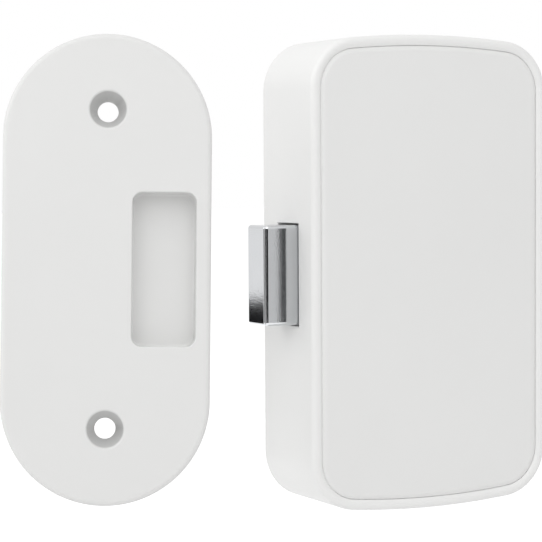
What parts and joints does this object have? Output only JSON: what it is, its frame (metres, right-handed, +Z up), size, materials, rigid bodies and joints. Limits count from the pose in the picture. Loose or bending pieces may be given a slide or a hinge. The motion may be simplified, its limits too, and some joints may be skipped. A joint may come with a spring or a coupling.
{
  "type": "smart cabinet lock",
  "caption": "Box-shaped wireless cabinet lock with a motor-driven spring latch at its side and a clip-in front cover, with its stadium-shaped strike plate.",
  "frame": {"origin": "centre of the case's flat back face, which is screwed to the door", "axes": "+X to the right seen from the front, so the latch points along -X; +Y towards the door, out of the case's back; +Z up"},
  "size_m": [0.1124, 0.0239, 0.094],
  "materials": {
    "white_shell": "fine satin moulding texture",
    "white_cover": "fine satin moulding texture",
    "white_strike": "fine satin moulding texture",
    "latch_chrome": "polished zinc casting with bright plating",
    "acetal": "natural moulded acetal",
    "spring_steel": "drawn wire",
    "screw_steel": "zinc plated",
    "motor_steel": "drawn and nickel plated",
    "magnet_nickel": "nickel plated",
    "gear_brass": "machined",
    "shield_tin": "tin plated sheet",
    "contact_nickel": "nickel plated sheet and wire",
    "black_plastic": "satin moulding",
    "board_laminate": "solder mask over glass laminate",
    "cell_sleeve": "shrunk film over steel",
    "lead_red": "soft wire sheath",
    "lead_black": "soft wire sheath"
  },
  "bodies": {
    "case": {"case_body": "white_shell", "latch_guide": "acetal", "guide_screw": "screw_steel", "gearbox": "gear_brass", "motor_can": "motor_steel", "motor_end_cap": "black_plastic", "motor_bed": "black_plastic", "motor_clamp": "motor_steel", "clamp_screw_left": "screw_steel", "clamp_screw_right": "screw_steel", "main_board": "board_laminate", "radio_module": "shield_tin", "buzzer": "black_plastic", "pairing_switch": "shield_tin", "motor_socket": "acetal", "cell_socket": "acetal", "position_sensor": "black_plastic", "board_screw_upper_left": "screw_steel", "board_screw_upper_right": "screw_steel", "board_screw_lower_right": "screw_steel", "battery_tray": "black_plastic", "tray_screw_left": "screw_steel", "tray_screw_right": "screw_steel", "upper_cell": "cell_sleeve", "lower_cell": "cell_sleeve", "positive_contact": "contact_nickel", "negative_contact": "contact_nickel", "bridge_contact": "contact_nickel", "motor_lead_red": "lead_red", "motor_lead_black": "lead_black", "cell_lead_red": "lead_red", "cell_lead_black": "lead_black", "strike_plate": "white_strike"},
    "cover": {"front_cover": "white_cover"},
    "carriage": {"carriage": "acetal", "carriage_magnet": "magnet_nickel", "latch_spring": "spring_steel"},
    "latch": {"latch_bolt": "latch_chrome", "latch_clip": "spring_steel"},
    "pinion": {"drive_pinion": "gear_brass", "drive_shaft": "screw_steel"},
    "button": {"pairing_button": "black_plastic"}
  },
  "joints": [
    {"name": "carriage_slide", "type": "slide", "parent": "case", "child": "carriage", "axis": [1, 0, 0], "range_m": [0, 0.0065]},
    {"name": "pinion_spin", "type": "hinge", "parent": "case", "child": "pinion", "pos_m": [0.009, -0.01239, 0.0085], "axis": [0, 0, 1], "range_deg": [-104, 0]},
    {"name": "latch_push", "type": "slide", "parent": "carriage", "child": "latch", "axis": [1, 0, 0], "range_m": [0, 0.0065], "stiffness_N_per_m": 400, "springref_m": -0.003, "deforming": ["latch_spring"]},
    {"name": "cover_lift", "type": "slide", "parent": "case", "child": "cover", "axis": [0, -1, 0], "range_m": [0, 0.03]},
    {"name": "pairing_press", "type": "slide", "parent": "case", "child": "button", "axis": [0, 1, 0], "range_m": [0, 0.00025], "stiffness_N_per_m": 1200, "springref_m": -0.0004}
  ],
  "couplings": [
    {"joint": "pinion_spin", "follows": "carriage_slide", "rad_per_m": -277.78}
  ]
}
